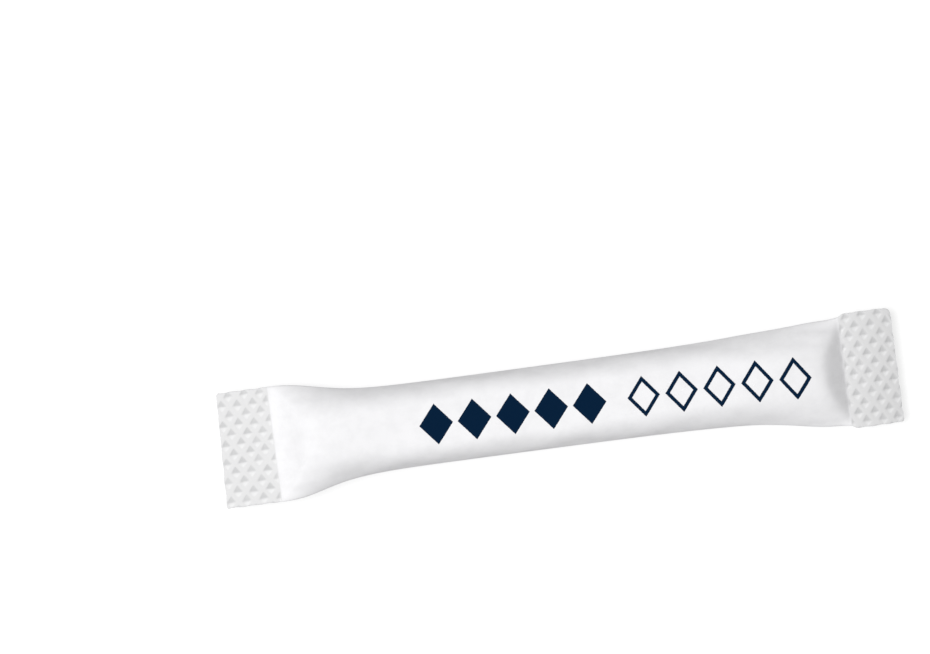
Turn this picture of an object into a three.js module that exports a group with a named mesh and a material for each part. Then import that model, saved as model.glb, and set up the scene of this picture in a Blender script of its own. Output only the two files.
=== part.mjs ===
// One filled stick of sugar: a paper tube, pressed flat and embossed at both
// ends, and rounded between them by its filling. It lies on its back seam.
//
// X runs along the stick, Y across it and Z up, through the printed front. The
// origin is on the surface that the stick lies on, under the middle of its box.
// Lengths are in millimetres and angles in radians.

import * as THREE from 'three';

// Paper tube
const stickLength = 115;
const flatWidth = 19.55; // the tube pressed flat, half of its girth
const halfFlat = flatWidth / 2;
const sheetThickness = 0.4; // both layers of a seal

// Embossed seals: dents stand on every other crossing of a lattice
const dentRows = 12;
const dentPitch = 2.72; // along the stick, within one row
const dentDepth = 0.26;
const dentReach = 0.75; // half the size of a dent's base, in lattice steps
const stepAlong = dentPitch / 2;
const stepAcross = flatWidth / dentRows;
const firstCrossings = [0.5, 0.65]; // lattice steps in from the left and from the right end
const stepsInSeal = 6.65;
const sealLength = stepsInSeal * stepAlong;
const sealDroops = [0.08, 0.25]; // slope at which the left and the right seal hang
const leftCutSlant = 0.035; // the left end is cut a little out of square

// Filled tube between the seals
const bodyLength = stickLength - 2 * sealLength;
const fullTurn = THREE.MathUtils.degToRad(75.5); // slope at the side folds where it is full
const shoulders = [0.1, 2.24]; // how early a section reaches its slope, flat and full
const leftSettle = 8.15; // length over which the slack left end fills out
const leftLate = 1.44; // above 1 it stays wide at first
const rightSettle = 10; // the packed right end fills out over this length, as
const rightSlack = THREE.MathUtils.degToRad(58); // only this much turn is missing
const closing = 0.85; // how soon the sides let go of the right seal
const pullIn = 0.06; // share of its width that the right seal's gathers take in
const pullPlace = 0.3;
const pullLengths = [0.8, 3.4]; // into the seal and into the tube
const topShare = 0.32; // share of the front that is level where the tube is full
const domes = [0.52, 0.35]; // share of the missing turn that the front makes up
const domeStart = 0.15; // turn from which it does so
const bellyShare = 0.25; // share of the back that lies flat, which is the lap seam
const lapStep = 0.15; // the seam's second layer and glue stand proud by this
const pressedFlat = 0.16; // how far the weight of the filling presses the belly in
const sealShifts = [0.17, 0.75]; // left and right seal sit this far to the -Y side
const shiftStarts = [2, 1]; // distance from the seal where the tube swings back
const shiftEnds = [11, 18];
const endRamps = [1.58, 1.13]; // slope from a seal up to the filling
const rampStarts = [3.7, 0.14]; // length in which a ramp reaches that slope
const rampBlend = 10; // sharpness of the bend from ramp to filling

// Corners of the cut ends: radius at the -Y and the +Y corner
const leftCorners = [0.35, 0.45];
const rightCorners = [0.6, 1.2];

// Facets
const facesAcross = 2 * dentRows; // over the front, and as many over the back
const ringSize = 2 * facesAcross;
const stepsPerColumn = 0.5;
const sealSections = [13, 12]; // from the first crossing up to the body, left and right
const bodyColumns = 37; // odd, so that the facets alternate alike in both seals
const endCrowding = 0.72; // 0 spreads the body's columns evenly, 1 crowds them at its ends
const slopeSteps = 12; // steps that sum up the paper's curve over one facet

const leftEnd = -stickLength / 2;
const rightEnd = stickLength / 2;
const bodyStart = leftEnd + sealLength;
const bodyEnd = bodyStart + bodyLength;

// Half of a section, from its centre line to its side crease, as the paper
// curves: the first `flatShare` of it is level, and then its slope rises to
// `turn`, fast at first where the tube is full and evenly where it is flat. Gives
// the distance across and the height above the crease at each facet's edge.
function halfSection(turn, flatShare) {
	const rate = THREE.MathUtils.lerp(shoulders[0], shoulders[1], (turn / fullTurn) ** 2);
	const across = [0];
	const drop = [0];
	const count = facesAcross / 2;
	const step = halfFlat / (count * slopeSteps);
	for (let facet = 0; facet < count; facet++) {
		let y = across[facet];
		let z = drop[facet];
		for (let k = 0; k < slopeSteps; k++) {
			const share = (facet * slopeSteps + k + 0.5) / (count * slopeSteps);
			const bent = Math.max(0, (share - flatShare) / (1 - flatShare));
			const slope = (turn * (1 - Math.exp(-rate * bent))) / (1 - Math.exp(-rate));
			y += step * Math.cos(slope);
			z += step * Math.sin(slope);
		}
		across.push(y);
		drop.push(z);
	}
	return { across, height: drop.map((z) => drop[count] - z) };
}

// How far the paper's sides have turned down at x, from 0 in a seal to fullTurn.
function turnAt(x) {
	const fromLeft = x - bodyStart;
	const fromRight = bodyEnd - x;
	if (fromLeft <= 0 || fromRight <= 0) return 0;
	const leftMissing = fullTurn * Math.exp(-((fromLeft / leftSettle) ** leftLate));
	const rightMissing = rightSlack * Math.exp(-fromRight / rightSettle);
	return Math.max(0, fullTurn - leftMissing - rightMissing) * lettingGo(x);
}

// 0 at the right seal, rising exponentially to 1.
function lettingGo(x) {
	return 1 - Math.exp(-Math.max(0, bodyEnd - x) / closing);
}

// Share of its width that the sheet keeps beside the right seal.
function keptWidth(x) {
	const past = bodyEnd - x - pullPlace;
	return 1 - pullIn * Math.exp(-((past / pullLengths[past < 0 ? 0 : 1]) ** 2));
}

// Height of the filling: the smaller of the section's own height and the two end
// ramps, blended so that the bend between them is round. A ramp is a hyperbola
// that starts level and soon reaches its slope.
function underRamps(height, x) {
	const ramps = [x - bodyStart, bodyEnd - x].map((fromSeal, end) => {
		const rise = Math.hypot(Math.max(0, fromSeal), rampStarts[end]) - rampStarts[end];
		return endRamps[end] * rise;
	});
	if (height <= 0 || Math.min(...ramps) <= 0) return 0;
	const terms = [height, ...ramps].map((h) => h ** -rampBlend);
	return (terms[0] + terms[1] + terms[2]) ** (-1 / rampBlend);
}

// Sideways place of the centre line: straight, and swung to -Y at the seals.
function centreAt(x) {
	const distances = [x - bodyStart, bodyEnd - x];
	return distances.reduce((centre, distance, end) => {
		const back = THREE.MathUtils.smoothstep(distance, shiftStarts[end], shiftEnds[end]);
		return centre - sealShifts[end] * (1 - back);
	}, 0);
}

// Height of the sheet's middle, level along the body and hanging in the seals.
const middleHeight = sheetThickness / 2 - pressedFlat
	+ halfSection(fullTurn, bellyShare).height[0];

function middleAt(x) {
	const beyond = Math.max(0, bodyStart - x, x - bodyEnd);
	const droop = sealDroops[x < 0 ? 0 : 1];
	return middleHeight - droop * beyond * (0.5 + (0.5 * beyond) / sealLength);
}

// Depth of the embossing: four-sided dents, point down, on every other crossing.
// `along` and `across` count lattice steps from the first crossing.
function dentAt(along, across) {
	const fromOdd = (value) => Math.abs(value - (2 * Math.floor(value / 2) + 1));
	const away = Math.max(fromOdd(along + across), fromOdd(along - across));
	return dentDepth * Math.max(0, 1 - away / dentReach);
}

// Rows are counted from the +Y side, and crossings from each cut end.
function sealDent(x, flatY) {
	const across = (halfFlat - flatY) / stepAcross - 0.5;
	if (x < bodyStart) return dentAt((x - leftEnd) / stepAlong - firstCrossings[0], across);
	if (x > bodyEnd) return dentAt((rightEnd - x) / stepAlong - firstCrossings[1], across);
	return 0;
}

// How much narrower the sheet is close to a cut end, where its corner is round.
function cornerInset(fromEnd, radius) {
	if (fromEnd >= radius) return 0;
	return radius - Math.sqrt(radius ** 2 - (radius - fromEnd) ** 2);
}

// The points of one section, from the -Y crease over the front to the +Y crease
// and back underneath.
function ringAt(x) {
	const turn = turnAt(x);
	const opened = turn / fullTurn;
	const level = topShare * opened ** 2;
	const dome = (domes[x < 0 ? 0 : 1] * turn) / (turn + domeStart);
	const front = halfSection(turn + dome * (fullTurn - turn), level);
	const back = halfSection(turn, bellyShare);
	const half = facesAcross / 2;
	const reach = halfSection(turn, level).across[half] * keptWidth(x);
	const centre = centreAt(x);
	const middle = middleAt(x);
	const lap = lapStep * Math.min(1, opened);
	const corners = x < 0 ? leftCorners : rightCorners;
	const fromEnd = stickLength / 2 - Math.abs(x);
	const ring = [];
	for (let place = 0; place < ringSize; place++) {
		const onFront = place <= facesAcross;
		const facet = onFront ? place - half : ringSize - place - half;
		const side = Math.sign(facet);
		const step = Math.abs(facet);
		const corner = cornerInset(fromEnd, corners[side < 0 ? 0 : 1]);
		const section = onFront ? front : back;
		const y = (section.across[step] / section.across[half]) * (reach - corner);
		const sheet = step === half ? 0 : sheetThickness / 2;
		const dent = step === half ? 0 : sealDent(x, (side * step * halfFlat) / half);
		const risen = section.height[step] * lettingGo(Math.min(x, bodyEnd));
		const filled = underRamps(risen, x);
		const besideLap = step > bellyShare * half && step < half ? lap : 0;
		const z = onFront ? middle + sheet + filled : middle - sheet - filled + besideLap;
		const slant = x < 0 ? leftCutSlant * Math.max(0, bodyStart - x) / sealLength : 0;
		ring.push([x + slant * side * y, centre + side * y, Math.max(0, z - dent)]);
	}
	return ring;
}

// Distances from a cut end to the sections in its seal: one on each crossing of
// the lattice and one halfway between crossings.
function sealPlaces(end) {
	const places = [0];
	for (let i = 0; i < sealSections[end]; i++) {
		places.push((firstCrossings[end] + i * stepsPerColumn) * stepAlong);
	}
	return places;
}

// Places of the sections: even steps in the seals, and closer towards the ends
// of the body than at its middle.
function columnPlaces() {
	const places = sealPlaces(0).map((distance) => leftEnd + distance);
	for (let i = 0; i <= bodyColumns; i++) {
		const t = i / bodyColumns;
		const wave = (endCrowding * Math.sin(2 * Math.PI * t)) / (2 * Math.PI);
		places.push(bodyStart + bodyLength * (t - wave));
	}
	const rightSeal = sealPlaces(1).map((distance) => rightEnd - distance);
	return [...places, ...rightSeal.reverse()];
}

// Facets between neighbouring sections. The diagonals alternate, so that each
// dent is a four-sided point, on the front and on the back alike.
function skinFacets(columnCount) {
	const facets = [];
	for (let column = 0; column < columnCount; column++) {
		for (let place = 0; place < ringSize; place++) {
			const next = (place + 1) % ringSize;
			const a = column * ringSize + place;
			const b = a + ringSize;
			const c = (column + 1) * ringSize + next;
			const d = column * ringSize + next;
			if ((column + place) % 2 === 0) facets.push(a, b, d, b, c, d);
			else facets.push(a, b, c, a, c, d);
		}
	}
	return facets;
}

// The cut edge that closes an end: front and back points joined straight down.
function cutEdgeFacets(column, facing) {
	const facets = [];
	const first = column * ringSize;
	const add = (a, b, c) => (facing > 0 ? facets.push(a, b, c) : facets.push(a, c, b));
	for (let place = 0; place < facesAcross; place++) {
		const top = first + place;
		const bottom = first + ((ringSize - place) % ringSize);
		const nextTop = top + 1;
		const nextBottom = first + ringSize - place - 1;
		if (place > 0) add(top, bottom, nextBottom);
		if (place < facesAcross - 1) add(top, nextBottom, nextTop);
	}
	return facets;
}

function stickGeometry() {
	const places = columnPlaces();
	const columnCount = places.length - 1;
	const points = places.flatMap(ringAt).flat();
	const facets = [
		...skinFacets(columnCount),
		...cutEdgeFacets(0, -1),
		...cutEdgeFacets(columnCount, 1),
	];
	const geometry = new THREE.BufferGeometry();
	geometry.setAttribute('position', new THREE.Float32BufferAttribute(points, 3));
	geometry.setIndex(facets);
	geometry.computeBoundingBox();
	const middle = geometry.boundingBox.getCenter(new THREE.Vector3());
	geometry.translate(-middle.x, -middle.y, 0);
	geometry.computeVertexNormals();
	return geometry;
}

const whitePaper = new THREE.MeshStandardMaterial({ color: 0xf4f4f6, roughness: 0.55, metalness: 0 });

const sugarStick = new THREE.Mesh(stickGeometry(), whitePaper);
sugarStick.name = 'sugar_stick';

const pack = new THREE.Group();
pack.add(sugarStick);

export default pack;
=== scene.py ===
import math

import bpy
import numpy as np
from mathutils import Matrix, Vector


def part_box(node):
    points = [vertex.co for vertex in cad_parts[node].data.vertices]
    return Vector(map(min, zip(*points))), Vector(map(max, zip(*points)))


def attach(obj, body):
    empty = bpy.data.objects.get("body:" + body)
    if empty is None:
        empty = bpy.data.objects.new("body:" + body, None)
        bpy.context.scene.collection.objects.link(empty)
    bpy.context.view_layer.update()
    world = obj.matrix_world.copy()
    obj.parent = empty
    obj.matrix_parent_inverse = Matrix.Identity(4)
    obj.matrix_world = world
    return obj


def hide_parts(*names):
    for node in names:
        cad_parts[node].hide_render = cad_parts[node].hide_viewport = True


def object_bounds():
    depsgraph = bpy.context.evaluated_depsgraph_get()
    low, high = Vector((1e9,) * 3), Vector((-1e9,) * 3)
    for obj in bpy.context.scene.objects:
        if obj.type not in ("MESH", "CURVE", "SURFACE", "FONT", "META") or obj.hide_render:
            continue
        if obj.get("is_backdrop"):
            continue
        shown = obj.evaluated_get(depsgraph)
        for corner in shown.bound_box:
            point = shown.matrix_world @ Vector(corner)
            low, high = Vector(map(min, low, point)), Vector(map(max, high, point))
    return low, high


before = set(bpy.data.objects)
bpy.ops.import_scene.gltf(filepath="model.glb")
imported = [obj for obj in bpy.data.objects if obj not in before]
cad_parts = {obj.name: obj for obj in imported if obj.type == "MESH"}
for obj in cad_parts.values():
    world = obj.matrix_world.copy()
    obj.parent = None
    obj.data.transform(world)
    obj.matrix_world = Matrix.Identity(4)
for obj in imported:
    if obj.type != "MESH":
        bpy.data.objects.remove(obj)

mm = 0.001
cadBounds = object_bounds()
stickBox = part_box("sugar_stick")
boxCentre = [(stickBox[0][axis] + stickBox[1][axis]) / 2 for axis in (0, 1)]
print("stick box in mm:", [[round(value / mm, 2) for value in corner] for corner in stickBox])


# The paper stick. Lengths are in metres, slopes and turns in radians. A pair of
# values is for the left and the right end, where its note says nothing else.
stick = {
    "length": 115 * mm,
    "flatWidth": 19.55 * mm,       # pressed flat, half of the tube's girth
    "sealLength": 9.044 * mm,
    "sealThickness": 0.32 * mm,    # both layers
    "edgeRadius": 0.25 * mm,       # rounding of the pressed side folds
    "sealDroops": (0.08, 0.25),    # slope at which a seal hangs
    "sealTwists": (-0.012, 0.02),  # slope across a seal at its cut end
    "leftCutSlant": 0.035,         # the left end is cut a little out of square
    "leftCorners": (0.35 * mm, 0.45 * mm),   # radius at the -Y and the +Y corner
    "rightCorners": (0.6 * mm, 1.2 * mm),
    "fullTurn": math.radians(75.5),          # slope at the side folds where the tube is full
    "shoulders": (0.1, 2.24),      # how early the slope is reached, in flat and in full sections
    "leftSettle": 8.15 * mm,       # length over which the slack left end fills out
    "leftLate": 1.44,              # above 1 it stays wide at first
    "rightSettle": 10 * mm,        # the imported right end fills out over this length, as
    "rightSlack": math.radians(58),          # only this much turn is missing
    "closing": 0.85 * mm,          # how soon the sides let go of the right seal
    "pullIn": 0.06,                # share of its width that the right seal's gathers take in
    "pullPlace": 0.3 * mm,         # from the seal into the tube
    "pullLengths": (0.8 * mm, 3.4 * mm),     # into the seal and into the tube
    "topShare": 0.32,              # level share of the front where the tube is full
    "domes": (0.52, 0.35),         # share of the missing turn that the front makes up
    "domeStart": 0.15,             # turn from which it does so
    "bellyShare": 0.25,            # level share of the back, as wide as the lap
    "lapStep": 0.15 * mm,          # the lap's second layer and glue stand proud by this
    "lapInSeal": 0.05 * mm,        # and by this where they are pressed
    "lapSoftEdge": 0.7 * mm,       # the covered edge of the lap shows through softly
    "lapCutEdge": 0.08 * mm,       # its free edge is cut sharp
    "pressedFlat": 0.16 * mm,      # how far the filling's weight presses the belly in
    "sealShifts": (0.17 * mm, 0.75 * mm),    # the seals sit this far to the -Y side
    "shiftStarts": (2 * mm, 1 * mm),         # distance from the seal where the tube swings back
    "shiftEnds": (11 * mm, 18 * mm),
    "endRamps": (1.58, 1.13),      # slope from a seal up to the filling
    "rampStarts": (3.7 * mm, 0.14 * mm),     # length in which a ramp reaches that slope
    "rampBlend": 10,               # sharpness of the bend from ramp to filling
    "sideScallop": 0.09 * mm,      # the embossing draws the seals' sides in between its rows
    "scallopFades": (0.6 * mm, 0.5 * mm),    # towards the tube and towards the cut end
    "cutGroove": 0.06 * mm,        # between the two layers on the cut edge
    "cutFlap": 0.2 * mm,           # each layer's cut edge, unrolled on the flat paper
    "sharpAngle": math.radians(48),
    "sealColumns": 60,             # of the mesh
    "bodyColumns": 236,
    "columnCrowding": 0.45,        # 0 is even, 1 crowds all columns at the ends
    "cellsAcross": 104,
    "foldPlaces": (0.001, 0.005, 0.012),     # extra points beside the folds, in half widths
    "seed": 4,
}

# Its soft relief: sums of cosines, with their heights, their lengths along the
# stick, how many waves go round the tube, and how many cosines are added up.
softRelief = {
    "lumps": {"height": 0.07 * mm, "lengths": (9 * mm, 34 * mm), "round": (1, 6), "count": 14},
    "lumpStart": 9 * mm,           # distance from a seal in which the lumps grow
    "gathers": {"height": 0.1 * mm, "lengths": (14 * mm, 60 * mm), "round": (9, 17), "count": 9},
    "gatherStart": 0.6 * mm,       # the gathers beside a seal grow in this
    "gatherLength": 3.2 * mm,      # and fade in this
    "knife": {"height": 0.05 * mm, "lengths": (1.7 * mm, 6 * mm), "round": (0, 0), "count": 7},
    "knifeReach": 2 * mm,          # the wave of the cut fades into the seal over this
    "foldFade": 8,                 # power with which all relief fades towards the folds
    "underside": 0.3,              # share of it that the stick's weight leaves on its back
}

dents = {
    "rows": 12,
    "pitch": 2.72 * mm,            # along the stick within a row
    "depth": 0.15 * mm,
    "halfWidth": 0.76,             # sizes in lattice steps
    "upHeight": 0.74,
    "downHeight": 0.6,
    "bottom": 0.25,                # share of the width that is bottom, between the side walls
    "fade": 0.25 * mm,             # at the line where the seal begins
    "paintedWidth": 0.5,              # share of the width that carries painted shade
    "tipShade": 0.6,                # strength of the painted shade at the triangle's tip
    "triangleStart": (-0.1, 0.1),  # where the painted shade's triangle begins, upwards in lattice steps
    "triangleTip": 0.2,            # share of the height over which it fades at the tip
    "highlightStart": (0.04, 0.2),      # the same for the painted highlight on the foot, downwards
    "highlightTip": 0.3,
    "unevenness": 0.22,            # of their depths and of their painted shade
    "wander": 0.09,                # how far a dent sits beside its crossing, in steps
    "kinds": 64,                   # crossings each way before the unevenness repeats
    "firstCrossings": (0.5, 0.65), # in lattice steps from the cut ends
}

halfFlat = stick["flatWidth"] / 2
halfLength = stick["length"] / 2
bodyStart = -halfLength + stick["sealLength"]
bodyEnd = halfLength - stick["sealLength"]
tiny = 1e-8                        # stands for zero where a power or a quotient needs more
random = np.random.default_rng(stick["seed"])


def smoothStep(value, start, end):
    # 0 before start, 1 after end, and an S-curve between them.
    share = np.clip((value - start) / (end - start), 0, 1)
    return share * share * (3 - 2 * share)


def intoSeal(along):
    # Distance past the line where a seal begins, 0 along the body.
    return np.clip(np.maximum(bodyStart - along, along - bodyEnd), 0, None)


def lettingGo(along):
    # 0 at the right seal, rising exponentially to 1.
    return 1 - np.exp(-np.clip(bodyEnd - along, 0, None) / stick["closing"])


def turnOfSides(along):
    # The full turn, less what is missing beside each seal, which fades
    # exponentially; it closes to nothing at the seals themselves.
    fromLeft, fromRight = along - bodyStart, bodyEnd - along
    leftShare = np.clip(fromLeft, 0, None) / stick["leftSettle"]
    missing = stick["fullTurn"] * np.exp(-leftShare ** stick["leftLate"])
    missing = missing + stick["rightSlack"] * np.exp(-fromRight / stick["rightSettle"])
    inside = (fromLeft > 0) & (fromRight > 0)
    return np.where(inside, np.clip(stick["fullTurn"] - missing, 0, None) * lettingGo(along), 0)


def halfSection(turn, flatShare, places, steps=600):
    # The paper's slope is level over flatShare of its arc and then rises like
    # 1 - exp(-rate * share) to turn, where the rate grows with the square of the
    # turn. Running sums of the slope's cosine and sine give the distance across
    # and the height above the side crease at each place of the arc, 0 to 1. The
    # slope is the third result. Each row is one section along the stick.
    flatShare = np.broadcast_to(flatShare, turn.shape)[:, None]
    turn = turn[:, None]
    flatRate, fullRate = stick["shoulders"]
    rate = flatRate + (fullRate - flatRate) * (turn / stick["fullTurn"]) ** 2

    def slopeAt(place):
        share = np.clip((place - flatShare) / (1 - flatShare), 0, 1)
        return turn * ((1 - np.exp(-rate * share)) / (1 - np.exp(-rate)))

    slope = slopeAt((np.arange(steps) + 0.5) / steps)
    zero = np.zeros((len(turn), 1))
    across = np.hstack([zero, np.cumsum(np.cos(slope), axis=1)]) * halfFlat / steps
    drop = np.hstack([zero, np.cumsum(np.sin(slope), axis=1)]) * halfFlat / steps
    at = np.clip(places * steps, 0, steps)
    low = np.minimum(at.astype(int), steps - 1)
    part = at - low
    pick = lambda table: table[:, low] * (1 - part) + table[:, low + 1] * part
    return pick(across), drop[:, -1:] - pick(drop), slopeAt(places)


def tubeSections(along, places):
    # The front's and the back's sections, and the half-width that both reach. The
    # front makes up a share of the missing turn, which grows with the turn like
    # turn / (turn + start), so it is rounder than the back near the seals. Beside
    # the right seal a bell curve, steeper on the seal's side, narrows both.
    turn = turnOfSides(along)
    topShare = stick["topShare"] * (turn / stick["fullTurn"]) ** 2
    dome = np.where(along < 0, *stick["domes"]) * turn / (turn + stick["domeStart"])
    front = halfSection(turn + dome * (stick["fullTurn"] - turn), topShare, places)
    back = halfSection(turn, stick["bellyShare"], places)
    fromPull = bodyEnd - along - stick["pullPlace"]
    pulled = np.exp(-((fromPull / np.where(fromPull < 0, *stick["pullLengths"])) ** 2))
    width = halfSection(turn, topShare, np.ones(1))[0]
    return front, back, width * (1 - stick["pullIn"] * pulled)[:, None]


def underRamps(height, along):
    # The smallest of the height and the two end ramps, blended by a power mean.
    # A ramp is a hyperbola that starts level and soon reaches its slope.
    total = (np.maximum(height, tiny) / mm) ** -stick["rampBlend"]
    for end, fromSeal in enumerate((along - bodyStart, bodyEnd - along)):
        start = stick["rampStarts"][end]
        rise = np.hypot(np.clip(fromSeal, 0, None), start) - start
        ramp = np.maximum(stick["endRamps"][end] * rise, tiny)[:, None]
        total = total + (ramp / mm) ** -stick["rampBlend"]
    return total ** (-1 / stick["rampBlend"]) * mm


def sheetMiddle(along):
    # Height of the sheet's middle: level along the body, so high that the full
    # belly is pressed in, and falling along a parabola in the hanging seals.
    full = halfSection(np.array([stick["fullTurn"]]), stick["bellyShare"], np.zeros(1))
    level = full[1][0, 0] + stick["sealThickness"] / 2 - stick["pressedFlat"]
    beyond = intoSeal(along)
    droop = np.where(along < 0, *stick["sealDroops"])
    return level - droop * beyond * (0.5 + 0.5 * beyond / stick["sealLength"])


def centreLine(along):
    # Straight, and swung to -Y by an S-curve towards each seal.
    left = 1 - smoothStep(along - bodyStart, stick["shiftStarts"][0], stick["shiftEnds"][0])
    right = 1 - smoothStep(bodyEnd - along, stick["shiftStarts"][1], stick["shiftEnds"][1])
    return -stick["sealShifts"][0] * left - stick["sealShifts"][1] * right


def sideInset(along, side):
    # How far the sheet's sides stand in: a quarter circle at each corner of the
    # cut ends, and along the seals one cosine wave for each pitch of the dents.
    fromEnd = halfLength - np.abs(along)
    leftRadius = np.where(side < 0, *stick["leftCorners"])
    rightRadius = np.where(side < 0, *stick["rightCorners"])
    radius = np.where((along < 0)[:, None], leftRadius, rightRadius)
    cutOff = np.clip(radius - fromEnd[:, None], 0, radius)
    corner = radius - np.sqrt(radius ** 2 - cutOff ** 2)
    tubeFade, endFade = stick["scallopFades"]
    inSeal = smoothStep(intoSeal(along), 0, tubeFade) * smoothStep(fromEnd, 0, endFade)
    wave = 0.5 - 0.5 * np.cos(2 * math.pi * fromEnd / dents["pitch"])
    return corner + stick["sideScallop"] * (inSeal * wave)[:, None]


def sheetHalf(arc):
    # Half of the sheet's thickness, rounded off like an ellipse at the folds.
    radius = stick["edgeRadius"] / halfFlat
    beyond = np.clip((np.abs(arc) - (1 - radius)) / radius, 0, 1)
    return stick["sealThickness"] / 2 * np.sqrt(1 - beyond ** 2)


def lapProfile(arc):
    # 1 on the lap, with an S-curve at each edge: wide at the covered edge and
    # narrow at the cut one.
    edge = stick["bellyShare"]
    soft, cut = stick["lapSoftEdge"] / halfFlat, stick["lapCutEdge"] / halfFlat
    covered = smoothStep(arc, -edge - soft / 2, -edge + soft / 2)
    return covered * (1 - smoothStep(arc, edge - cut / 2, edge + cut / 2))


def dentField(along, flatAcross):
    # Dents on every other crossing of a lattice, where the sum and the
    # difference of the two coordinates are odd. Each is a kite with its deepest
    # line across the middle: from there its depth falls evenly to the two tips,
    # and quickly to the two sides. Gives the depth, and painted light: 1 for painted shade on
    # the triangle towards +Y, as if lit from +Y, and -1 for a painted highlight on the foot below it.
    stepAlong = dents["pitch"] / 2
    stepAcross = stick["flatWidth"] / dents["rows"]
    fromLeft = (along + halfLength) / stepAlong - dents["firstCrossings"][0]
    fromRight = (halfLength - along) / stepAlong - dents["firstCrossings"][1]
    columns = np.where(along < 0, fromLeft, fromRight)
    rows = (halfFlat - flatAcross) / stepAcross - 0.5
    total, difference = columns + rows, columns - rows
    fromOdd = lambda value: value - (2 * np.floor(value / 2) + 1)
    # one random depth, strength of painted shade and place for each crossing of the lattice
    kinds = dents["kinds"]
    cell = tuple(np.floor(value / 2).astype(int) % kinds for value in (total, difference))
    depths, shadeSpread, right, up = [(random.random((kinds, kinds)) * 2 - 1)[cell] for _ in range(4)]
    sideways = np.abs((fromOdd(total) + fromOdd(difference)) / 2 + dents["wander"] * right)
    upwards = (fromOdd(difference) - fromOdd(total)) / 2 + dents["wander"] * up
    height = np.where(upwards > 0, dents["upHeight"], dents["downHeight"])
    tipShare = np.clip(1 - np.abs(upwards) / height, 0, 1)
    halfWidth = dents["halfWidth"] * tipShare + tiny
    bottom = 1 - smoothStep(sideways, dents["bottom"] * halfWidth, halfWidth)
    inSeal = smoothStep(intoSeal(along), 0, dents["fade"])
    depth = tipShare * bottom * (1 + dents["unevenness"] * depths) * inSeal
    # painted shade on the upper triangle and painted highlight on the foot, standing in for light from
    # +Y
    wide = 1 - smoothStep(sideways, dents["paintedWidth"] * halfWidth, halfWidth)
    triangle = wide * smoothStep(upwards, *dents["triangleStart"])
    triangle = triangle * smoothStep(tipShare, 0, dents["triangleTip"])
    triangle = triangle * (dents["tipShade"] + (1 - dents["tipShade"]) * tipShare)
    paintedHighlight = wide * smoothStep(-upwards, *dents["highlightStart"])
    paintedHighlight = paintedHighlight * smoothStep(tipShare, 0, dents["highlightTip"])
    return depth, (triangle * (1 + dents["unevenness"] * shadeSpread) - paintedHighlight) * inSeal


def softWaves(along, around, waves):
    # A sum of cosines with random directions and phases. Whole numbers of them
    # round the girth keep it unbroken at the side creases.
    total = np.zeros(np.broadcast(along, around).shape)
    for _ in range(waves["count"]):
        lengthwise = random.uniform(*waves["lengths"]) * random.choice((-1, 1))
        girthwise = random.integers(waves["round"][0], waves["round"][1] + 1)
        phase = random.uniform(0, 2 * math.pi)
        angle = 2 * math.pi * (along / lengthwise + girthwise * around / (4 * halfFlat))
        total += np.cos(angle + phase)
    return total / math.sqrt(waves["count"]) * waves["height"]


def stickFaces(along, arc):
    # Front and back of the stick as grids of points, columns by arc places: the
    # section's curve, raised by the filling under the ramps, moved along its
    # normal by lumps, gathers and the lap, and lowered by the dents.
    side, places = np.sign(arc), np.abs(arc)
    column = along[:, None]
    beyond = intoSeal(column)
    # the dents' depth, and their painted shade and painted highlight for the colour
    dentShare, dentPaintedLight = dentField(column, arc * halfFlat)
    dent = dentShare * dents["depth"] * (places < 1)
    knifeShare = np.clip(1 - (halfLength - np.abs(column)) / softRelief["knifeReach"], 0, 1)
    knife = softWaves(arc * halfFlat, column * 0, softRelief["knife"]) * knifeShare
    slant = stick["leftCutSlant"] * (column < 0) * beyond / stick["sealLength"]
    twist = np.where(column < 0, *stick["sealTwists"]) * beyond / stick["sealLength"]

    fromSeal = np.minimum(column - bodyStart, bodyEnd - column)
    lumpShare = smoothStep(fromSeal, 0, softRelief["lumpStart"])
    inBody = np.clip(fromSeal, 0, None)
    gatherShare = 1 - np.exp(-inBody / softRelief["gatherStart"])
    gatherShare = gatherShare * np.exp(-inBody / softRelief["gatherLength"])
    filled = turnOfSides(column) / stick["fullTurn"]
    lapStep = stick["lapInSeal"] + (stick["lapStep"] - stick["lapInSeal"]) * filled
    lap = lapStep * (lapProfile(arc) - 1) * (places < 1)

    frontSection, backSection, reach = tubeSections(along, places)
    inset = 1 - sideInset(along, side) / reach
    rise = lettingGo(np.minimum(column, bodyEnd))
    faces = []
    for up, section in ((1, frontSection), (-1, backSection)):
        across, height, slope = section
        fit = reach / across.max(axis=1, keepdims=True)
        y = side * across * fit * inset
        thick = sheetHalf(arc) + underRamps(height * rise, along)
        z = sheetMiddle(column) + up * thick + twist * y
        around = arc * halfFlat if up > 0 else 2 * halfFlat - arc * halfFlat
        relief = softWaves(column, around, softRelief["lumps"]) * lumpShare
        relief = relief + softWaves(column, around, softRelief["gathers"]) * gatherShare
        relief = relief * (1 - places ** softRelief["foldFade"])
        if up < 0:
            relief = relief * (1 - (1 - softRelief["underside"]) * filled) + lap
        y = y + side * np.sin(slope) * relief
        z = z + up * np.cos(slope) * relief - dent
        x = column + slant * y + np.sign(column) * knife
        faces.append(np.stack([x, y + centreLine(column), np.clip(z, 0, None)], axis=-1))
    return faces[0], faces[1], dentPaintedLight


def columnPlaces():
    # Even in the seals; in the body a sine shift crowds them towards its ends.
    seal = np.arange(stick["sealColumns"]) / stick["sealColumns"] * stick["sealLength"]
    share = np.arange(stick["bodyColumns"] + 1) / stick["bodyColumns"]
    wave = stick["columnCrowding"] * np.sin(2 * math.pi * share) / (2 * math.pi)
    body = bodyStart + (bodyEnd - bodyStart) * (share - wave)
    return np.concatenate([seal - halfLength, body, halfLength - seal[::-1]])


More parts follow.
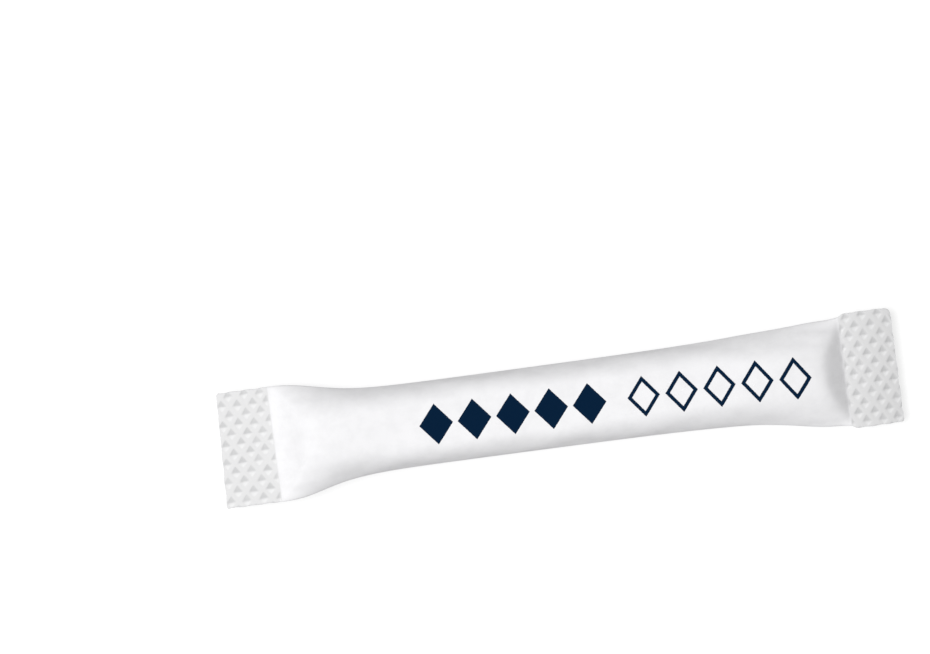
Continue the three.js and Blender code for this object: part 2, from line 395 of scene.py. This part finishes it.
def arcPlaces():
    # Signed arc places over one face, -1 to 1, closer at the folds and the lap.
    even = np.linspace(-1, 1, stick["cellsAcross"] + 1)
    folds = 1 - np.array(stick["foldPlaces"])
    lapEdge = stick["bellyShare"] + np.array([-1, 0, 1]) * stick["lapCutEdge"] / halfFlat
    extra = np.concatenate([folds, lapEdge])
    return np.unique(np.round(np.concatenate([even, extra, -extra]), 6))


def skinFaces(along, arc):
    # Quads between neighbouring rings, each as four point numbers and as four
    # places on the flat paper: along it, and round it from the front's middle.
    around = np.concatenate([arc, 2 - arc[-2::-1]]) * halfFlat
    ringSize = len(around) - 1
    column, place = np.indices((len(along) - 1, ringSize)).reshape(2, -1)
    after = (place + 1) % ringSize
    first, second = column * ringSize, (column + 1) * ringSize
    numbers = np.stack([first + place, second + place, second + after, first + after], axis=1)
    flatAlong = along[np.stack([column, column + 1, column + 1, column], axis=1)]
    flatAround = around[np.stack([place, place, place + 1, place + 1], axis=1)]
    return numbers, np.stack([flatAlong, flatAround], axis=-1)


def cutEndFaces(along, arc):
    # At each cut end one strip from the front's edge to the groove and one from
    # there to the back's edge: quads, and a triangle at either fold. On the flat
    # paper the strips are unrolled beyond the end of the front.
    ringSize = 2 * len(arc) - 2
    place = np.arange(len(arc))
    last = place[-1]
    near, far = place[1:-2], place[2:-1]
    shapes = (
        ([0, 0, 1, 1], np.stack([near, far, far, near], axis=1)),
        ([0, 0, 1], np.array([[0, 1, 1]])),
        ([0, 1, 0], np.array([[last, last - 1, last - 1]])),
    )
    faces = []
    for end, (column, outwards) in enumerate(((0, -1), (len(along) - 1, 1))):
        frontRow = column * ringSize + place
        backRow = column * ringSize + (ringSize - place) % ringSize
        grooveRow = len(along) * ringSize + end * (len(arc) - 2) + place - 1
        grooveRow[[0, -1]] = frontRow[[0, -1]]
        flaps = along[column] + outwards * stick["cutFlap"] * np.arange(3)
        for level, strip in enumerate(((frontRow, grooveRow), (grooveRow, backRow))):
            for row, places in shapes:
                row = np.broadcast_to(row, places.shape)
                numbers = np.stack(strip)[row, places]
                flat = np.stack([flaps[level + row], arc[places] * halfFlat], axis=-1)
                if outwards > 0:  # looking along +X the corners run the other way
                    numbers, flat = numbers[:, ::-1], flat[:, ::-1]
                faces.append((numbers, flat))
    return faces


def bakePlaces(places, faceAlong, gap=0.006):
    # The flat paper in two strips, one above the other, cut between the two
    # groups of the print. Each strip fills the width of the square.
    cutAt = 9.4 * mm
    ends = halfLength + 0.5 * mm             # past the unrolled cut ends
    right = faceAlong > cutAt
    start = np.where(right, cutAt, -ends)
    length = np.where(right, ends - cutAt, cutAt + ends)
    across = (places[:, 0] - start) / length
    up = (places[:, 1] + halfFlat) / (4 * halfFlat)
    across, up = (gap + share * (1 - 2 * gap) for share in (across, up))
    return np.stack([across, (right + up) / 2], axis=1)


# Where the paper is worn: the strength on a line and the length of its fading.
wear = {
    "folds": (1.0, 0.22 * mm),
    "foldOpens": (0.35, 1.25),     # turn over which a side fold stops being a crease
    "sealLines": (0.6, 0.18 * mm),
    "cutEnds": (0.8, 0.15 * mm),
}


def wearOf(name, distance):
    # Falls exponentially with the distance from the line.
    strength, length = wear[name]
    return strength * np.exp(-distance / length)


def foldTone(along, arc):
    # The strongest wear of the side folds, the seals' lines and the cut ends.
    column = along[:, None]
    creased = 1 - smoothStep(turnOfSides(column), *wear["foldOpens"])
    folds = wearOf("folds", (1 - np.abs(arc)) * halfFlat) * creased
    fromLine = np.minimum(np.abs(column - bodyStart), np.abs(column - bodyEnd))
    lines = wearOf("sealLines", fromLine)
    ends = wearOf("cutEnds", halfLength - np.abs(column))
    return np.maximum(np.maximum(folds, lines), ends)


def aroundRing(front, back):
    # One ring for each column: over the front, and back underneath.
    return np.concatenate([front, back[:, -2:0:-1]], axis=1)


def addTone(mesh, name, values):
    mesh.attributes.new(name, "FLOAT", "POINT").data.foreach_set("value", values.astype(np.float32))


def buildStick():
    # One closed skin: rings of front and back points, and at each cut end two
    # strips of faces that meet in a groove between the paper's layers.
    along, arc = columnPlaces(), arcPlaces()
    front, back, dentPaintedLight = stickFaces(along, arc)
    points = [aroundRing(front, back).reshape(-1, 3)]
    for column, outwards in ((0, -1), (-1, 1)):
        groove = (front[column, 1:-1] + back[column, 1:-1]) / 2
        points.append(groove - np.array([outwards * stick["cutGroove"], 0, 0]))
    points = np.concatenate(points)
    low, high = points.min(axis=0), points.max(axis=0)
    points[:, :2] += np.array(boxCentre) - (low + high)[:2] / 2

    faces = [skinFaces(along, arc)] + cutEndFaces(along, arc)
    faces.sort(key=lambda face: -face[0].shape[1])  # quads first, then triangles
    corners = np.concatenate([np.full(len(numbers), numbers.shape[1]) for numbers, _ in faces])
    loops = np.concatenate([numbers.ravel() for numbers, _ in faces])
    places = np.concatenate([flat.reshape(-1, 2) for _, flat in faces])
    faceAlong = np.concatenate([flat[:, :, 0].mean(axis=1) for _, flat in faces]).repeat(corners)

    mesh = bpy.data.meshes.new("paperStick")
    mesh.vertices.add(len(points))
    mesh.vertices.foreach_set("co", points.ravel())
    mesh.loops.add(len(loops))
    mesh.loops.foreach_set("vertex_index", loops)
    mesh.polygons.add(len(corners))
    mesh.polygons.foreach_set("loop_start", np.cumsum(corners) - corners)
    mesh.polygons.foreach_set("use_smooth", np.ones(len(corners), bool))
    mesh.update(calc_edges=True)
    mesh.set_sharp_from_angle(angle=stick["sharpAngle"])
    mesh.uv_layers.new(name="flatPaper").data.foreach_set("uv", places.ravel())
    mesh.uv_layers.new(name="OFBake").data.foreach_set("uv", bakePlaces(places, faceAlong).ravel())
    mesh.uv_layers["flatPaper"].active_render = True

    inGrooves = np.ones(2 * (len(arc) - 2))
    folds = foldTone(along, arc)
    # the dents' painted shade and painted highlight, read by the paper's colour
    addTone(mesh, "dentPaintedLight", np.append(aroundRing(dentPaintedLight, dentPaintedLight), 0 * inGrooves))
    addTone(mesh, "foldTone", np.append(aroundRing(folds, folds), inGrooves))
    return mesh


# The printed paper.
paperLook = {
    "white": (0.838, 0.835, 0.848, 1),
    "cloudy": (0.806, 0.803, 0.816, 1),      # where the sheet is a little thinner
    "seal": (0.716, 0.715, 0.719, 1),        # glued and pressed together
    "pressed": (0.565, 0.567, 0.572, 1),     # painted shade on the upper halves of the dents
    "paintedHighlight": (0.79, 0.79, 0.795, 1),          # painted highlight on their lower halves
    "worn": (0.74, 0.74, 0.75, 1),           # along folds and cuts
    "wornShare": (0.3, 0.8),                 # patchy
    "roughness": (0.45, 0.56),
    "inkRoughness": 1.0,
    "specular": 0.04,
    "sealEdge": 0.1 * mm,                    # softness of the line where a seal begins
    "fibreSize": 0.16 * mm,
    "cloudSize": 2.2 * mm,
    "cloudRange": (0.35, 0.7),               # noise over which white turns cloudy
    "grainSize": 0.75 * mm,
    "fibre": 0.004 * mm,                     # height of its fibres
    "grain": 0.018 * mm,                     # sugar pressing through from inside
    "grainFade": 6 * mm,                     # towards the seals
}

# Two groups of diamonds, where the front carries its dark blue print: from
# the left, measured from the middle of the stick on the flat paper.
printLook = {
    "ink": (0.0016, 0.0130, 0.0385, 1),
    "height": 6.9 * mm,
    "offset": -0.3 * mm,                     # its middle runs a little below the stick's
    "count": 5,
    "groups": (
        {"start": -24.2 * mm, "length": 32.4 * mm, "width": 5.7 * mm, "line": 0},
        {"start": 10.9 * mm, "length": 32.0 * mm, "width": 5.5 * mm, "line": 0.62 * mm},
    ),
    "edge": 0.03 * mm,
    "wobble": 0.012,                         # of the edge, in half sizes of a diamond
    "thinnest": 0.997,                       # cover of the ink over the deepest fibres
    "thinRange": (0.2, 0.5),                 # noise over which it covers fully
}

noiseRange = (0.3, 0.7)                      # between which most of a noise lies


def addNode(tree, kind, inputs=None, **settings):
    node = tree.nodes.new(kind)
    for name, value in settings.items():
        setattr(node, name, value)
    for name, value in (inputs or {}).items():
        if isinstance(value, bpy.types.NodeSocket):
            tree.links.new(value, node.inputs[name])
        else:
            node.inputs[name].default_value = value
    return node


def compute(tree, operation, first, second=0.0):
    return addNode(tree, "ShaderNodeMath", {0: first, 1: second}, operation=operation).outputs[0]


def blendColour(tree, share, first, second):
    node = addNode(tree, "ShaderNodeMix", {0: share, 6: first, 7: second}, data_type="RGBA")
    return node.outputs[2]


def blendValue(tree, share, first, second):
    return addNode(tree, "ShaderNodeMix", {0: share, 2: first, 3: second}).outputs[0]


def remap(tree, value, fromLow, fromHigh, toLow=0.0, toHigh=1.0):
    inputs = {0: value, 1: fromLow, 2: fromHigh, 3: toLow, 4: toHigh}
    return addNode(tree, "ShaderNodeMapRange", inputs, interpolation_type="SMOOTHSTEP").outputs[0]


def noise(tree, place, size, detail=3.0):
    inputs = {"Vector": place, "Scale": 1 / size, "Detail": detail, "Roughness": 0.6}
    return addNode(tree, "ShaderNodeTexNoise", inputs).outputs[0]


def diamondGroup(tree, along, across, group, wobble):
    # Distance from a diamond's middle, 1 on its outline: the sum of the two
    # distances from the middle, each as a share of the diamond's half-size.
    pitch = group["length"] / printLook["count"]
    halfWidth, halfHeight = group["width"] / 2, printLook["height"] / 2
    cells = compute(tree, "DIVIDE", compute(tree, "SUBTRACT", along, group["start"]), pitch)
    offset = compute(tree, "ABSOLUTE", compute(tree, "SUBTRACT", compute(tree, "FRACT", cells), 0.5))
    sideways = compute(tree, "MULTIPLY", offset, pitch / halfWidth)
    fromLine = compute(tree, "SUBTRACT", across, printLook["offset"])
    upwards = compute(tree, "DIVIDE", compute(tree, "ABSOLUTE", fromLine), halfHeight)
    distance = compute(tree, "ADD", compute(tree, "ADD", sideways, upwards), wobble)
    inner = halfWidth * halfHeight / math.hypot(halfWidth, halfHeight)
    soft = printLook["edge"] / inner
    mask = remap(tree, distance, 1 - soft, 1 + soft, 1.0, 0.0)
    if group["line"]:
        hole = 1 - group["line"] / inner
        mask = compute(tree, "MULTIPLY", mask, remap(tree, distance, hole - soft, hole + soft))
    begun = compute(tree, "GREATER_THAN", cells, 0.0)
    over = compute(tree, "LESS_THAN", cells, float(printLook["count"]))
    return compute(tree, "MULTIPLY", mask, compute(tree, "MULTIPLY", begun, over))


def printedPaper():
    material = bpy.data.materials.new("printedPaper")
    material.use_nodes = True
    tree = material.node_tree
    tree.nodes.clear()
    flatPlace = addNode(tree, "ShaderNodeUVMap", uv_map="flatPaper").outputs[0]
    split = addNode(tree, "ShaderNodeSeparateXYZ", {0: flatPlace})
    along, across = split.outputs[0], split.outputs[1]
    place = addNode(tree, "ShaderNodeTexCoord").outputs["Object"]
    fibres = noise(tree, place, paperLook["fibreSize"], detail=4.0)
    clouds = noise(tree, place, paperLook["cloudSize"], detail=3.0)
    grains = noise(tree, place, paperLook["grainSize"], detail=2.0)

    wobble = remap(tree, fibres, *noiseRange, -printLook["wobble"], printLook["wobble"])
    groups = [diamondGroup(tree, along, across, group, wobble) for group in printLook["groups"]]
    printed = compute(tree, "MAXIMUM", *groups)
    cover = remap(tree, fibres, *printLook["thinRange"], printLook["thinnest"])
    inked = compute(tree, "MULTIPLY", printed, cover)

    dentPaintedLight = addNode(tree, "ShaderNodeAttribute", attribute_name="dentPaintedLight").outputs["Fac"]
    foldTone = addNode(tree, "ShaderNodeAttribute", attribute_name="foldTone").outputs["Fac"]
    cloudy = remap(tree, clouds, *paperLook["cloudRange"])
    colour = blendColour(tree, cloudy, paperLook["white"], paperLook["cloudy"])
    fromMiddle = compute(tree, "ABSOLUTE", along)
    edge = paperLook["sealEdge"]
    sealed = remap(tree, fromMiddle, bodyEnd - edge, bodyEnd + edge)
    colour = blendColour(tree, sealed, colour, paperLook["seal"])
    # painted shade on the dents' upper triangles and painted highlight on their feet
    colour = blendColour(tree, compute(tree, "MAXIMUM", dentPaintedLight, 0.0), colour, paperLook["pressed"])
    highlightShare = compute(tree, "MAXIMUM", compute(tree, "MULTIPLY", dentPaintedLight, -1.0), 0.0)
    colour = blendColour(tree, highlightShare, colour, paperLook["paintedHighlight"])
    worn = compute(tree, "MULTIPLY", foldTone, remap(tree, grains, *noiseRange, *paperLook["wornShare"]))
    colour = blendColour(tree, worn, colour, paperLook["worn"])
    colour = blendColour(tree, inked, colour, printLook["ink"])

    roughness = remap(tree, clouds, *noiseRange, *paperLook["roughness"])
    roughness = blendValue(tree, printed, roughness, paperLook["inkRoughness"])

    # relief in millimetres
    filled = remap(tree, fromMiddle, bodyEnd - paperLook["grainFade"], bodyEnd, 1.0, 0.0)
    relief = compute(tree, "MULTIPLY", fibres, paperLook["fibre"] / mm)
    grainRelief = compute(tree, "MULTIPLY", grains, paperLook["grain"] / mm)
    relief = compute(tree, "ADD", relief, compute(tree, "MULTIPLY", grainRelief, filled))
    bump = addNode(tree, "ShaderNodeBump", {"Strength": 1.0, "Distance": mm, "Height": relief})

    shader = addNode(tree, "ShaderNodeBsdfPrincipled", {
        "Base Color": colour,
        "Roughness": roughness,
        "Normal": bump.outputs[0],
        "Specular IOR Level": paperLook["specular"],
    })
    output = addNode(tree, "ShaderNodeOutputMaterial")
    tree.links.new(shader.outputs[0], output.inputs["Surface"])
    return material


paperStick = bpy.data.objects.new("paperStick", buildStick())
bpy.context.collection.objects.link(paperStick)
paperStick.data.materials.append(printedPaper())
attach(paperStick, "root")
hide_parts("sugar_stick")
print("paper stick:", len(paperStick.data.vertices), "points,", len(paperStick.data.polygons), "faces")


# Floor, light and camera.
studio = {
    "floorSize": 3.0,
    "floorLevel": -0.02 * mm,      # just below the stick
    "floorWhite": (0.31, 0.32),    # in soft spots
    "spotSize": 40 * mm,
    "floorRoughness": 0.9,
    "floorSpecular": 0.1,
    "floorGlow": (0.29, 0.72),     # on the stick, and as the camera sees it
    "skyLight": 0.345,
    "backdrop": 0.95,
    "keyPower": 54,
    "keySize": 1.375,
    "keyDistance": 2.5,
    "keyTilt": (-0.365, 0.025),    # towards the stick's left end
}


def makeFloor():
    half, level = studio["floorSize"] / 2, studio["floorLevel"]
    mesh = bpy.data.meshes.new("floor")
    corners = [(-half, -half, level), (half, -half, level), (half, half, level), (-half, half, level)]
    mesh.from_pydata(corners, [], [(0, 1, 2, 3)])
    floor = bpy.data.objects.new("floor", mesh)
    bpy.context.collection.objects.link(floor)
    material = bpy.data.materials.new("paleFloor")
    material.use_nodes = True
    tree = material.node_tree
    shader = tree.nodes["Principled BSDF"]
    place = addNode(tree, "ShaderNodeTexCoord").outputs["Object"]
    spots = noise(tree, place, studio["spotSize"])
    spots = remap(tree, spots, *noiseRange, *studio["floorWhite"])
    white = addNode(tree, "ShaderNodeCombineXYZ", {0: spots, 1: spots, 2: spots}).outputs[0]
    tree.links.new(white, shader.inputs["Base Color"])
    shader.inputs["Roughness"].default_value = studio["floorRoughness"]
    shader.inputs["Specular IOR Level"].default_value = studio["floorSpecular"]
    shader.inputs["Emission Color"].default_value = (1, 1, 1, 1)
    seen = addNode(tree, "ShaderNodeLightPath").outputs["Is Camera Ray"]
    tree.links.new(blendValue(tree, seen, *studio["floorGlow"]), shader.inputs["Emission Strength"])
    mesh.materials.append(material)
    floor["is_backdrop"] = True


def makeLights():
    world = bpy.data.worlds.new("studio")
    world.use_nodes = True
    tree = world.node_tree
    tree.nodes.clear()
    seen = addNode(tree, "ShaderNodeLightPath").outputs["Is Camera Ray"]
    strength = blendValue(tree, seen, studio["skyLight"], studio["backdrop"])
    sky = addNode(tree, "ShaderNodeBackground", {0: (1, 1, 1, 1), 1: strength})
    output = addNode(tree, "ShaderNodeOutputWorld")
    tree.links.new(sky.outputs[0], output.inputs[0])
    bpy.context.scene.world = world

    towards = Vector((*studio["keyTilt"], 1)).normalized()
    lamp = bpy.data.lights.new("softKey", "AREA")
    lamp.shape = "DISK"
    lamp.size = studio["keySize"]
    lamp.energy = studio["keyPower"]
    key = bpy.data.objects.new("softKey", lamp)
    key.location = towards * studio["keyDistance"]
    key.rotation_mode = "QUATERNION"
    key.rotation_quaternion = towards.to_track_quat("Z", "Y")
    bpy.context.collection.objects.link(key)


# Where the photograph holds the stick: pixels of its 930 x 654 frame.
photo = {
    "size": (930, 654),
    "stickMiddle": (559.4, 405.1),
    "pixelsPerMetre": 5930,
    "stickRise": math.radians(7.62),   # the stick climbs to the right
    "middleOnStick": (0.17 * mm, 0.47 * mm),
    "height": 4.9 * mm,                # level at which that scale holds
    "lens": 180,
    "sensor": 36,
    "clip": (0.01, 20),
}


def makeCamera():
    # Straight above, turned so that the stick rises to the right.
    rise, scale = photo["stickRise"], photo["pixelsPerMetre"]
    right = Vector((math.cos(rise), -math.sin(rise), 0))
    up = Vector((math.sin(rise), math.cos(rise), 0))
    offRight = (photo["stickMiddle"][0] - photo["size"][0] / 2) / scale
    offDown = (photo["stickMiddle"][1] - photo["size"][1] / 2) / scale
    middle = Vector((*photo["middleOnStick"], photo["height"]))
    away = photo["lens"] * photo["size"][0] / scale / photo["sensor"]
    place = middle - right * offRight + up * offDown + Vector((0, 0, away))
    lens = bpy.data.cameras.new("camera")
    lens.lens = photo["lens"]
    lens.sensor_width = photo["sensor"]
    lens.clip_start, lens.clip_end = photo["clip"]
    camera = bpy.data.objects.new("camera", lens)
    turned = Matrix((right, up, (0, 0, 1))).transposed().to_4x4()
    camera.matrix_world = Matrix.Translation(place) @ turned
    bpy.context.collection.objects.link(camera)
    bpy.context.scene.camera = camera


makeFloor()
makeLights()
makeCamera()
bpy.context.scene.view_settings.view_transform = "Standard"
print("floor, light and camera are in place")

sizes = {
    "cad": [list(corner) for corner in cadBounds],
    "visual": [list(corner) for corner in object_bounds()],
}
for name, box in sizes.items():
    print(name, "box in mm:", [[round(value / mm, 2) for value in corner] for corner in box])
